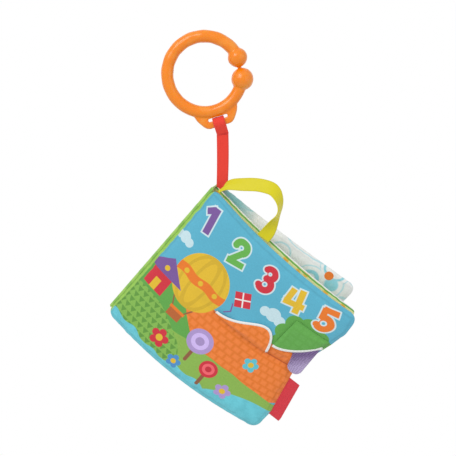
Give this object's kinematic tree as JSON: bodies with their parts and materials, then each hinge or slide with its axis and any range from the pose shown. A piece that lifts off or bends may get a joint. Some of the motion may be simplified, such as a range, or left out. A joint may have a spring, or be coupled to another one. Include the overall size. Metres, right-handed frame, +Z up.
{
  "type": "baby activity book",
  "caption": "Soft cloth activity book with quilted covers, an inner leaf, a ribbon handle and lift flaps, hanging from an open plastic ring by a webbing strap.",
  "frame": {"origin": "the hang point, on the inside of the ring straight above the strap", "axes": "+Z up; +X to the right across the front cover as it hangs; +Y away from the reader"},
  "size_m": [0.175, 0.0591, 0.2727],
  "materials": {
    "ring_plastic": "smooth orange polypropylene with faint moulded waves",
    "strap_webbing": "red twill webbing",
    "bar_tack_thread": "dense red stitching",
    "cover_print": "printed brushed polyester, sky blue ground",
    "spine_print": "printed brushed polyester, light green",
    "lining_cloth": "plain white brushed polyester",
    "batting": "bonded polyester wadding",
    "crinkle_film": "thin crackling film",
    "leaf_print_front": "printed brushed polyester, pale yellow with orange flecks",
    "leaf_print_back": "printed brushed polyester, leaf green",
    "rear_print_inside": "printed brushed polyester, white with aqua waves",
    "rear_print_outside": "printed brushed polyester, teal",
    "lift_flap_print": "printed brushed polyester, orange",
    "binding_cloth": "white folded edge binding",
    "corner_flap_print": "printed brushed polyester, green",
    "pull_tab_rib": "ribbed lilac knit",
    "label_tape": "red woven label tape",
    "satin_ribbon": "bright yellow satin ribbon"
  },
  "bodies": {
    "ring": {"link_ring": "ring_plastic"},
    "loop": {"strap_loop": "strap_webbing"},
    "strap": {"strap_webbing": "strap_webbing", "strap_bar_tack": "bar_tack_thread"},
    "core": {"spine_cloth": "spine_print", "spine_lining": "lining_cloth", "leaf_front_cloth": "leaf_print_front", "leaf_back_cloth": "leaf_print_back", "leaf_batting": "batting"},
    "front_cover": {"cover_cloth": "cover_print", "cover_lining": "lining_cloth", "cover_batting": "batting", "cover_crinkle_film": "crinkle_film"},
    "rear_cover": {"rear_lining": "rear_print_inside", "rear_cloth": "rear_print_outside", "rear_batting": "batting", "rear_crinkle_film": "crinkle_film"},
    "lift_flap": {"lift_flap_cloth": "lift_flap_print", "lift_flap_lining": "lining_cloth", "lift_flap_binding": "binding_cloth"},
    "corner_flap": {"corner_flap_cloth": "corner_flap_print", "corner_flap_lining": "lining_cloth", "corner_flap_binding": "binding_cloth"},
    "tab": {"pull_tab": "pull_tab_rib"},
    "label": {"side_label": "label_tape"},
    "handle": {"ribbon_handle": "satin_ribbon"}
  },
  "joints": [
    {"name": "strap_swing", "type": "hinge", "parent": "ring", "child": "loop", "pos_m": [0.00097, 0, -0.05068], "axis": [0.9563, 0, 0.2924], "range_deg": [-60, 60]},
    {"name": "book_twist", "type": "hinge", "parent": "loop", "child": "strap", "pos_m": [0.00307, 0, -0.05756], "axis": [0, 0, 1], "range_deg": [-75, 75]},
    {"name": "book_fold", "type": "hinge", "parent": "strap", "child": "core", "pos_m": [0.00266, 0.00097, -0.09676], "axis": [0.6849, -0.2922, -0.6675], "range_deg": [-10, 45]},
    {"name": "front_cover_hinge", "type": "hinge", "parent": "core", "child": "front_cover", "pos_m": [-0.04195, 0.00157, -0.13947], "axis": [-0.6341, 0.1464, -0.7593], "range_deg": [0, 160]},
    {"name": "rear_cover_hinge", "type": "hinge", "parent": "core", "child": "rear_cover", "pos_m": [-0.03777, 0.0197, -0.13947], "axis": [0.6341, -0.1464, 0.7593], "range_deg": [-5.5, 155]},
    {"name": "lift_flap_hinge", "type": "hinge", "parent": "front_cover", "child": "lift_flap", "pos_m": [0.01493, -0.01951, -0.19256], "axis": [0.787, -0.1495, -0.5986], "range_deg": [0, 110], "stiffness_Nm_per_rad": 0.0004},
    {"name": "corner_flap_hinge", "type": "hinge", "parent": "front_cover", "child": "corner_flap", "pos_m": [0.06679, -0.02833, -0.19057], "axis": [-0.8229, 0.0269, 0.5676], "range_deg": [0, 100], "stiffness_Nm_per_rad": 0.0006},
    {"name": "pull_tab_hinge", "type": "hinge", "parent": "corner_flap", "child": "tab", "pos_m": [0.05086, -0.02606, -0.20385], "axis": [-0.9801, 0.1537, -0.1253], "range_deg": [0, 70], "stiffness_Nm_per_rad": 0.0003},
    {"name": "side_label_hinge", "type": "hinge", "parent": "front_cover", "child": "label", "pos_m": [0.04339, -0.0168, -0.23971], "axis": [0.45, -0.1039, 0.887], "range_deg": [-60, 60], "stiffness_Nm_per_rad": 0.0002},
    {"name": "handle_flop", "type": "hinge", "parent": "front_cover", "child": "handle", "pos_m": [-0.00079, -0.00787, -0.09354], "axis": [0.6793, -0.2521, -0.6892], "range_deg": [-10, 90], "stiffness_Nm_per_rad": 0.0006}
  ]
}
